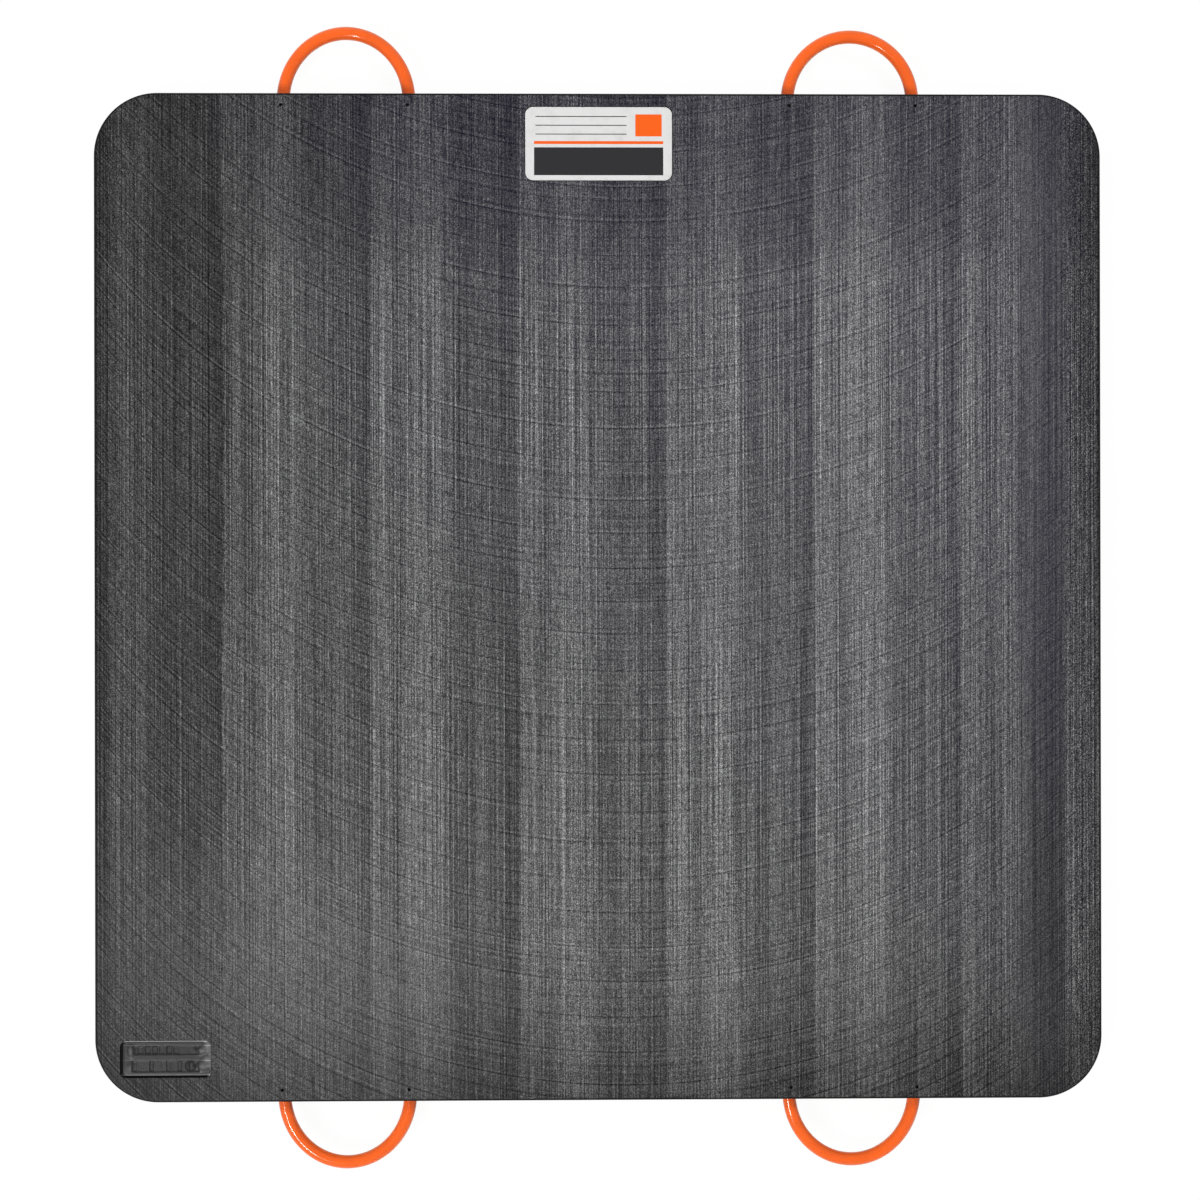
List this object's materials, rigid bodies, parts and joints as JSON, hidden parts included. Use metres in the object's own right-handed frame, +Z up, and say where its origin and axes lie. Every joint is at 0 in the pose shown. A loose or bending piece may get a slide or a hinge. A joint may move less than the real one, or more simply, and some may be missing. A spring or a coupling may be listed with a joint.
{
  "type": "crane outrigger pad",
  "caption": "Square plastic load-spreading pad for a crane's outrigger foot, with rounded corners, orange cord handles pinned into its sides, an inset label plate and a pressed recess.",
  "frame": {"origin": "centre of the pad's underside", "axes": "+Z up through the pad's thickness, +Y towards the rear side, which has the label, +X to the right when the label is at the far side"},
  "size_m": [1.2192, 1.392, 0.0508],
  "materials": {
    "pad_polymer": "matte",
    "handle_cord": "gloss",
    "pin_steel": "satin",
    "label_face": "satin"
  },
  "bodies": {
    "root": {"pad": "pad_polymer", "handle_rear_left": "handle_cord", "handle_rear_right": "handle_cord", "handle_front_left": "handle_cord", "handle_front_right": "handle_cord", "retaining_pins": "pin_steel", "label": "label_face"}
  },
  "joints": []
}
